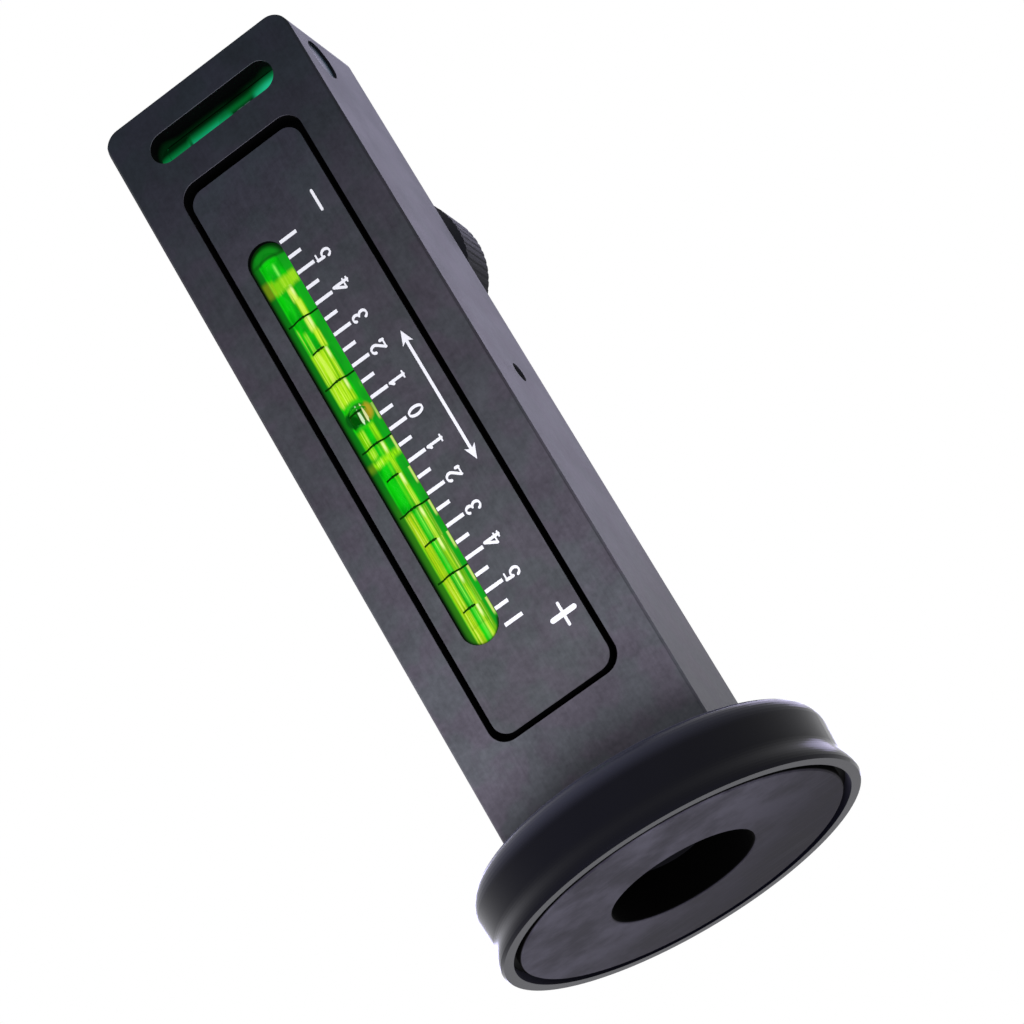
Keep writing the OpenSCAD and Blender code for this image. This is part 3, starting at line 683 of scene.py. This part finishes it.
line_mesh = bmesh.new()
for step in range(-5, 5):
    z = LINE_ZERO_Z - LINE_DROP + step * LINE_STEP
    x0, x1 = LONG_LINE if step % 2 == 0 else SHORT_LINE
    rows = []
    for i in range(LINE_STEPS + 1):
        x = x0 + (x1 - x0) * i / LINE_STEPS
        half = line_half(x)
        rows.append([line_mesh.verts.new((x * MM, line_y(x) * MM, (z + dz) * MM))
                     for dz in (-half, half)])
    for a, b in zip(rows, rows[1:]):
        line_mesh.faces.new((a[0], b[0], b[1], a[1]))
line_data = bpy.data.meshes.new("camber_vial_lines")
line_mesh.to_mesh(line_data)
line_mesh.free()
lines = bpy.data.objects.new("camber_vial_lines", line_data)
scene.collection.objects.link(lines)
line_data.materials.append(line_ink)
coat = lines.modifiers.new("ink_thickness", "SOLIDIFY")
coat.thickness = 0.008 * MM
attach(lines, "gauge")

# ---------------------------------------------------------------- caster vial
# The caster vial lies in a moulded black carrier, which tilts on a steel pin
# when the knob is turned. Its liquid is the same green dye.
CASTER_AXIS = (-3.4, 4.2, 0)
CASTER_TUBE_R = 2.6
CASTER_BUBBLE_Z = 59.0
# the same painted glow, highlights and shade as the camber vial's liquid
caster_liquid, tree = new_material("green_caster_liquid")
across = seen_across(tree, CASTER_AXIS, (-1, 0, 0), (0, 1, 0), CASTER_TUBE_R)
along = place_mm(tree)[2]
dye_and_painted_light = green_paint(tree, across, along)
glow_paint(tree, bubble_paint(tree, dye_and_painted_light, across, along, CASTER_BUBBLE_Z), 0.3, 0.7)
dress(caster_liquid, "caster_liquid", "caster_plugs")
dress(tube_acrylic("clear_acrylic_caster", CASTER_AXIS, "Z", 2.3), "caster_vial")

# moulded plastic: black with a fine, matt grain from the mould
black_moulding, tree = new_material("black_moulding")
grain = mottling(tree, 0.333, 2.0)
surface(tree, Base_Color=coats(tree, "#121214", (grain, "#1b1b1e")), Roughness=0.5,
        Normal=add(tree, "Bump", Height=grain, Strength=0.3, Distance=0.02 * MM))
dress(black_moulding, "carrier")

# ---------------------------------------------------------------- cross vial
# The cross vial is a small acrylic tube deep in the sight slot, put in through
# a bore in the side. It lies in the shade of the slot's ceiling, so its green
# liquid is painted teal below and black above as painted shade, with a painted glow, and dark
# where the bubble is.
CROSS_AXIS = (0, -3.6, 127.3)
CROSS_TUBE_R = 3.1
CROSS_UP, CROSS_TOWARDS = (0, -0.417, 0.909), (0, -0.909, -0.417)
CROSS_LINE_X, CROSS_BUBBLE_X, GLINTS_X = (-6.1, -5.6), (1.0, 5.5), (2.4, 4.9)
cross_liquid, tree = new_material("teal_vial_liquid")
along, depth, _ = place_mm(tree)
height = seen_across(tree, CROSS_AXIS, CROSS_UP, CROSS_TOWARDS, CROSS_TUBE_R)
# painted highlights: small pale glints along the lower edge near the bubble
painted_glints = product(tree, band(tree, along, *GLINTS_X, 0.3),
                 add(tree, "MapRange", height, 1.4, 1.0, **SMOOTH),
                 add(tree, "Math", depth, CROSS_AXIS[1], operation="LESS_THAN"),
                 add(tree, "MapRange", mottling(tree, 0.625, 1.0), 0.42, 0.62, **SMOOTH))
paint = coats(
    tree, "#0f9566", (mottling(tree, 2.38, 2.0), "#17ad7a"),
    (add(tree, "MapRange", along, 5.0, 8.5, 0.0, 0.7, **SMOOTH), "#24c795"),
    (add(tree, "MapRange", along, -5.6, -6.6, 0.0, 0.7, **SMOOTH), "#056d46"),
    (band(tree, along, *CROSS_LINE_X, 0.2), "#03402b"),
    (add(tree, "MapRange", height, 1.0, 0.7, 0.0, 0.5, **SMOOTH), "#0a5c50"),
    (band(tree, along, *CROSS_BUBBLE_X, 0.55), "#02120c"), (painted_glints, "#8fb9b0"))
# the painted shade begins higher at the right end, and lower at the left
shade_from = add(tree, "Math", add(tree, "MapRange", along, 4.0, 8.0, 1.5, 1.9, **SMOOTH),
                 add(tree, "MapRange", along, -5.6, -6.6, 0.0, -0.3, **SMOOTH), operation="ADD")
above = add(tree, "Math", height, shade_from, operation="SUBTRACT")
paint = coats(tree, paint,
              (add(tree, "MapRange", above, -0.5, 0.6, 0.0, 0.85, **SMOOTH), "#06722f"),
              (add(tree, "MapRange", above, 0.1, 1.3, **SMOOTH), "#011c08"))
glow_paint(tree, paint, 0.1, 0.95)
dress(cross_liquid, "cross_liquid", "cross_plugs")
dress(tube_acrylic("clear_acrylic_cross", CROSS_AXIS, "X", 2.8), "cross_vial")

# the plug in the side is aluminium too, with painted teal light on the part that faces the vial
plug_finish, tree = new_material("black_anodised_plug")
painted_teal_light = add(tree, "MapRange", place_mm(tree)[1], -4.5, -1.0, 0.0, 0.7, **SMOOTH)
surface(tree, Base_Color=coats(tree, "#666a78", (mottling(tree, 0.667), "#777b89"),
                               (painted_teal_light, "#24505f")), Roughness=0.42, Specular_IOR_Level=0.12)
dress(plug_finish, "side_plug")

# ---------------------------------------------------------------- adjusting screw
# The knob, turned and fluted from black anodised aluminium, drives a steel
# screw. The pin and its slotted screw are the carrier's pivot.
KNOB_CENTRE = (5.2, 0, 101.8)
knob_finish, tree = new_material("black_anodised_knob")
rings = mottling(tree, (2.0, 0.4167, 2.0))
# painted light: the upper part of the knob is paler and the lower part darker navy
high = add(tree, "MapRange", place_mm(tree)[2], 102, 111, **SMOOTH)
dye_and_painted_light = coats(tree, coats(tree, "#0e1019", (rings, "#151722")),
            (high, coats(tree, "#1e1921", (rings, "#28232d"))))
# the flutes are so fine that they hardly break the light, so the rim is shaded nearly round
out = add(tree, "VectorMath", add(tree, "TexCoord", output="Object"), Vector(KNOB_CENTRE) * MM,
          operation="SUBTRACT")
out = add(tree, "VectorMath", add(tree, "VectorMath", out, (1, 0, 1), operation="MULTIPLY"),
          operation="NORMALIZE")
true_normal = add(tree, "NewGeometry", output="Normal")
on_rim = add(tree, "VectorMath", true_normal, out, operation="DOT_PRODUCT")
pull = add(tree, "VectorMath", out, add(tree, "MapRange", on_rim, 0.3, 0.6, 0.0, 2.0, **SMOOTH),
           operation="SCALE")
rounded = add(tree, "VectorMath", add(tree, "VectorMath", pull, true_normal, operation="ADD"),
              operation="NORMALIZE")
surface(tree, Base_Color=dye_and_painted_light, Roughness=0.55, Specular_IOR_Level=0.08, Normal=rounded)
dress(knob_finish, "knob")


def turned_metal(name, colour, pale, axis, roughness, metallic, level=0.5):
    """Turned metal: fine rings left by the tool run round its axis."""
    made, tree = new_material(name)
    rings = mottling(tree, tuple(0.385 if letter == axis else 5.56 for letter in "XYZ"))
    surface(tree, Base_Color=coats(tree, colour, (rings, pale)), Roughness=roughness,
            Metallic=metallic, Specular_IOR_Level=level,
            Normal=add(tree, "Bump", Height=rings, Strength=0.15, Distance=0.01 * MM))
    return made


dress(turned_metal("turned_steel", "#8d9096", "#b9bcc2", "Y", 0.3, 1.0),
      "adjusting_screw", "retaining_ring")
dress(turned_metal("ground_steel_pin", "#9a9ca2", "#c2c4c9", "X", 0.25, 1.0), "pivot_pin")
dress(turned_metal("black_oxide_steel", "#0c0c0f", "#17171b", "Z", 0.5, 0.3, 0.1), "pivot_screw")

# ---------------------------------------------------------------- magnet base
# The cup is pressed from steel sheet, enamelled gloss black and screwed to the
# bar. The ring magnet is ferrite, ground flat on its face, set in black epoxy.
CUP_INSIDE_R, CUP_SHOULDER_Z = 25.0, (7.2, 10.4)
MAGNET_HOLE_R, MAGNET_OUTER_R = 10.5, 24.0
dress(turned_metal("black_washer_steel", "#0a0a0c", "#131316", "Z", 1.0, 0.0, 0.02),
      "base_screw", "lock_washer", "flat_washer")

# enamel: deep black and glossy outside, with a faint ripple and a painted sheen on the shoulder;
# matt inside
enamel, tree = new_material("gloss_black_enamel")
ripple = mottling(tree, 6.25, 2.0)
x, y, z = place_mm(tree)
rough = add(tree, "MapRange", distance(tree, x, y), CUP_INSIDE_R - 0.1, CUP_INSIDE_R + 0.1,
            0.9, 0.18, **SMOOTH)
painted_shoulder_sheen = add(tree, "MapRange", z, *CUP_SHOULDER_Z, 0.0, 0.8, **SMOOTH)
surface(tree, Base_Color=coats(tree, "#02020a", (ripple, "#05050e"), (painted_shoulder_sheen, "#3c3d4c")),
        Roughness=rough, Specular_IOR_Level=0.1, Sheen_Weight=0.12, Sheen_Roughness=0.35,
        Sheen_Tint="#e0deff",
        Normal=add(tree, "Bump", Height=ripple, Strength=0.06, Distance=0.05 * MM))
dress(enamel, "base_cup")

# ferrite: dark grey and cloudy, with straight scratches from grinding and painted shade on one
# side
ferrite, tree = new_material("ground_ferrite")
x, y, _ = place_mm(tree)
scratches = mottling(tree, (16.67, 0.385, 0.385), 4.0)
clouds = mottling(tree, 10.53, 5.0, 0.6)
painted_shade_side = add(tree, "Math", product(tree, x, 0.5), product(tree, y, 0.8), operation="ADD")
radius = distance(tree, x, y)
# painted shade: the walls of the hole and the outer edge are black
walls = add(tree, "Math",
            add(tree, "MapRange", radius, MAGNET_HOLE_R + 0.25, MAGNET_HOLE_R + 0.1, **SMOOTH),
            add(tree, "MapRange", radius, MAGNET_OUTER_R - 0.2, MAGNET_OUTER_R - 0.05, **SMOOTH),
            operation="MAXIMUM")
paint = coats(tree, "#2c2a32", (add(tree, "MapRange", clouds, 0.34, 0.66, **SMOOTH), "#504e57"),
              (add(tree, "MapRange", painted_shade_side, -8, 20, 0.0, 0.75, **SMOOTH), "#1c1a20"),
              (add(tree, "MapRange", scratches, 0.5, 0.7, 0.0, 0.14, **SMOOTH), "#55535d"),
              (walls, "#010101"))
rough = add(tree, "Math", add(tree, "MapRange", clouds, 0.3, 0.7, 0.55, 0.68, **SMOOTH), walls,
            operation="MAXIMUM")
surface(tree, Base_Color=paint, Roughness=rough, Specular_IOR_Level=0.05,
        Normal=add(tree, "Bump", Height=scratches, Strength=0.1, Distance=0.01 * MM))
dress(ferrite, "ring_magnet")

# epoxy: black and dull
epoxy, tree = new_material("black_epoxy")
surface(tree, Base_Color=coats(tree, "#030304", (mottling(tree, 2.0, 2.0), "#070708")),
        Roughness=0.6, Specular_IOR_Level=0.05)
dress(epoxy, "magnet_glue")
